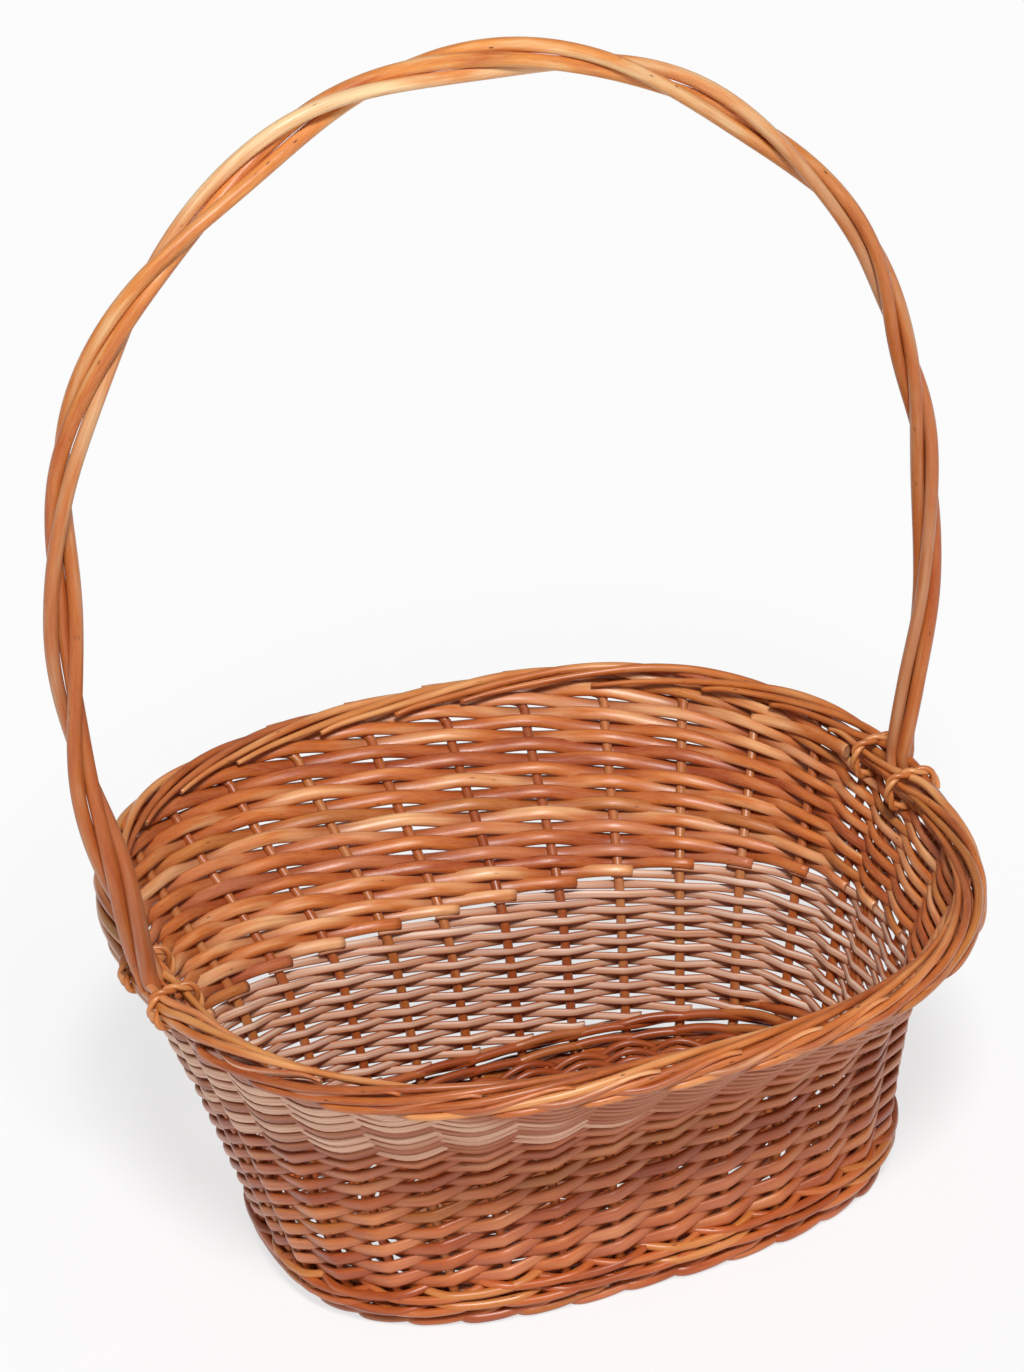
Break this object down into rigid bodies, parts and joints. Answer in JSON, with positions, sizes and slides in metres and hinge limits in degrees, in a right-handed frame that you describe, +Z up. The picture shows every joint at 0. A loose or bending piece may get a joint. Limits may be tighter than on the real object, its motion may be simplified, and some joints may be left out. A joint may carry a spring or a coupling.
{
  "type": "gift basket",
  "caption": "Open woven willow basket with a rounded base, flared wall of brown and pale bands, a rod border and a tall twisted hoop handle.",
  "frame": {"origin": "middle of the whole basket's box, on the surface it stands on", "axes": "+Z up towards the handle's top, X across the basket's wide way with the handle's feet near its ends, Y across its depth"},
  "size_m": [0.4652, 0.4114, 0.6068],
  "materials": {
    "stake_willow": "satin",
    "brown_willow": "satin",
    "split_willow": "matte",
    "stick_willow": "satin",
    "handle_willow": "satin",
    "tie_willow": "satin"
  },
  "bodies": {
    "root": {"stake_01": "stake_willow", "stake_02": "stake_willow", "stake_03": "stake_willow", "stake_04": "stake_willow", "stake_05": "stake_willow", "stake_06": "stake_willow", "stake_07": "stake_willow", "stake_08": "stake_willow", "stake_09": "stake_willow", "stake_10": "stake_willow", "stake_11": "stake_willow", "stake_12": "stake_willow", "stake_13": "stake_willow", "stake_14": "stake_willow", "stake_15": "stake_willow", "stake_16": "stake_willow", "stake_17": "stake_willow", "stake_18": "stake_willow", "stake_19": "stake_willow", "stake_20": "stake_willow", "stake_21": "stake_willow", "stake_22": "stake_willow", "stake_23": "stake_willow", "stake_24": "stake_willow", "stake_25": "stake_willow", "stake_26": "stake_willow", "stake_27": "stake_willow", "stake_28": "stake_willow", "stake_29": "stake_willow", "stake_30": "stake_willow", "upset_weaver_1": "brown_willow", "upset_weaver_2": "brown_willow", "brown_weaver_1": "brown_willow", "brown_weaver_2": "brown_willow", "foot_rod": "brown_willow", "base_weaver_1": "brown_willow", "base_weaver_2": "brown_willow", "base_binder_1": "brown_willow", "base_binder_2": "brown_willow", "pale_weaver_1": "split_willow", "pale_weaver_2": "split_willow", "base_long_stick_1": "stick_willow", "base_long_stick_2": "stick_willow", "base_long_stick_3": "stick_willow", "base_short_stick_1": "stick_willow", "base_short_stick_2": "stick_willow", "base_short_stick_3": "stick_willow", "base_short_stick_4": "stick_willow", "base_short_stick_5": "stick_willow", "handle_rod_1": "handle_willow", "handle_rod_2": "handle_willow", "handle_rod_3": "handle_willow", "tie_1": "tie_willow", "tie_2": "tie_willow", "tie_3": "tie_willow", "tie_4": "tie_willow"}
  },
  "joints": []
}
